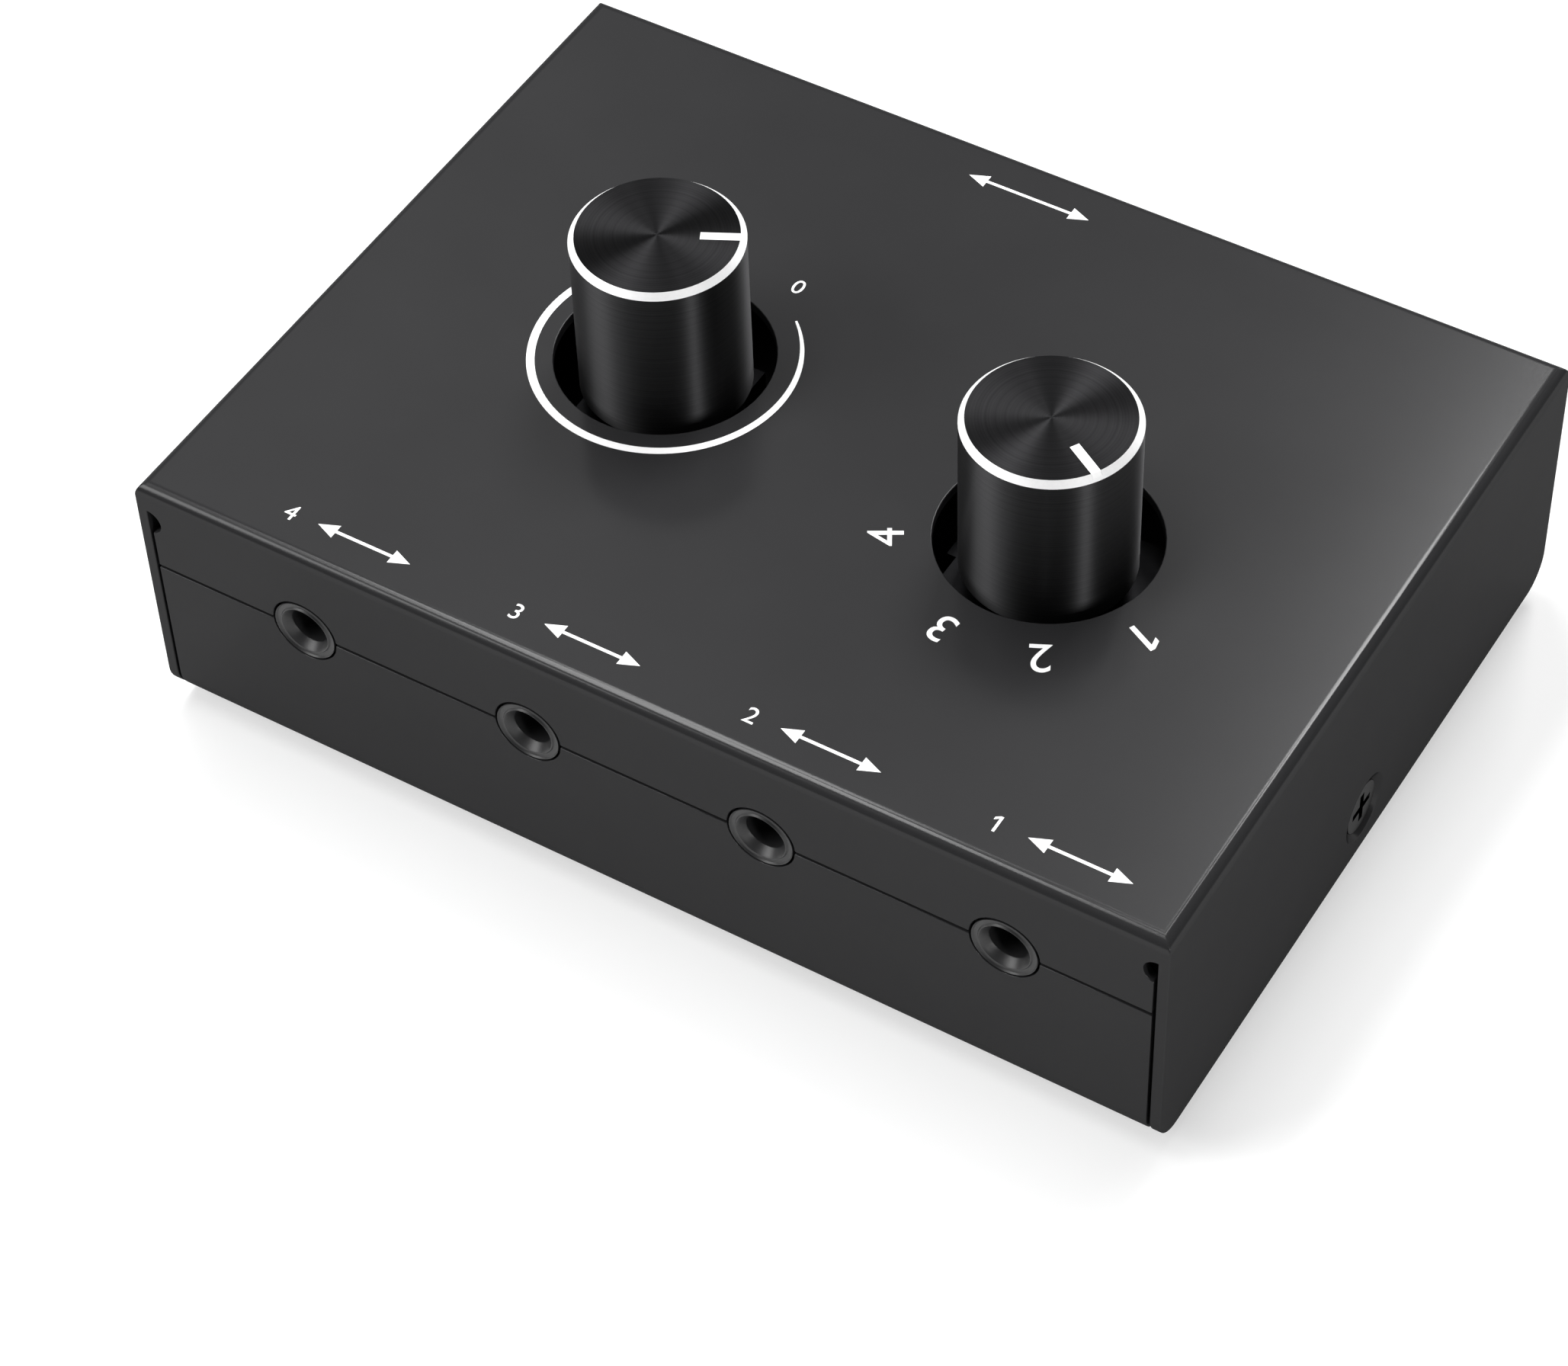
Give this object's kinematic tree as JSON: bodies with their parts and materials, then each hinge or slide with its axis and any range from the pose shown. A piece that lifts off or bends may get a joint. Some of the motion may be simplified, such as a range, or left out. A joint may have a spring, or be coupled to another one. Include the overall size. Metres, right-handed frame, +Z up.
{
  "type": "speaker selector switch",
  "caption": "Low sheet-metal audio box with 3.5 mm sockets on two sides, a volume knob and a rotary selector knob that picks which speaker or source is connected.",
  "frame": {"origin": "centre of the box's footprint, on the surface that the feet stand on", "axes": "+X along the long side, -Y out of the face with the row of sockets, +Z up"},
  "size_m": [0.098, 0.072, 0.0414],
  "materials": {
    "painted_sheet": "matte black powder coat, fine grain",
    "black_screw": "black oxide",
    "plated_steel": "black zinc plated",
    "nylon": "natural, moulded",
    "laminate": "black solder mask on glass laminate",
    "rubber": "matte",
    "jack_plastic": "moulded, semi-gloss",
    "spring_contact": "tin plated",
    "control_plastic": "moulded",
    "carbon_track": "printed carbon",
    "anodised_knob": "black anodised, top spun in fine rings, bright chamfer",
    "white_inlay": "white enamel",
    "knob_core_plastic": "moulded"
  },
  "bodies": {
    "housing": {"top_cover": "painted_sheet", "bottom_tray": "painted_sheet", "cover_screws": "black_screw", "foot_front_left": "rubber", "foot_front_right": "rubber", "foot_rear_left": "rubber", "foot_rear_right": "rubber", "board_posts": "nylon", "circuit_board": "laminate", "jack_1_housing": "jack_plastic", "jack_1_contacts": "spring_contact", "jack_2_housing": "jack_plastic", "jack_2_contacts": "spring_contact", "jack_3_housing": "jack_plastic", "jack_3_contacts": "spring_contact", "jack_4_housing": "jack_plastic", "jack_4_contacts": "spring_contact", "jack_common_housing": "jack_plastic", "jack_common_contacts": "spring_contact", "volume_track": "carbon_track", "volume_case": "control_plastic", "volume_bracket": "plated_steel", "volume_terminals": "spring_contact", "selector_wafer": "control_plastic", "selector_contacts": "spring_contact", "selector_case": "control_plastic", "selector_detent_roller": "plated_steel", "selector_detent_spring": "spring_contact", "selector_bracket": "plated_steel", "selector_terminals": "spring_contact"},
    "volume_knob": {"volume_wiper": "spring_contact", "volume_rotor": "control_plastic", "volume_shaft": "plated_steel", "volume_knob_shell": "anodised_knob", "volume_knob_pointer": "white_inlay", "volume_knob_core": "knob_core_plastic"},
    "selector_knob": {"selector_wiper": "spring_contact", "selector_rotor": "control_plastic", "selector_shaft": "plated_steel", "selector_knob_shell": "anodised_knob", "selector_knob_pointer": "white_inlay", "selector_knob_core": "knob_core_plastic"}
  },
  "joints": [
    {"name": "volume_turn", "type": "hinge", "parent": "housing", "child": "volume_knob", "pos_m": [-0.0185, -0.00085, 0.0275], "axis": [0, 0, -1], "range_deg": [-23, 257]},
    {"name": "selector_turn", "type": "hinge", "parent": "housing", "child": "selector_knob", "pos_m": [0.0203, -0.0033, 0.0275], "axis": [0, 0, -1], "range_deg": [0, 120]}
  ]
}
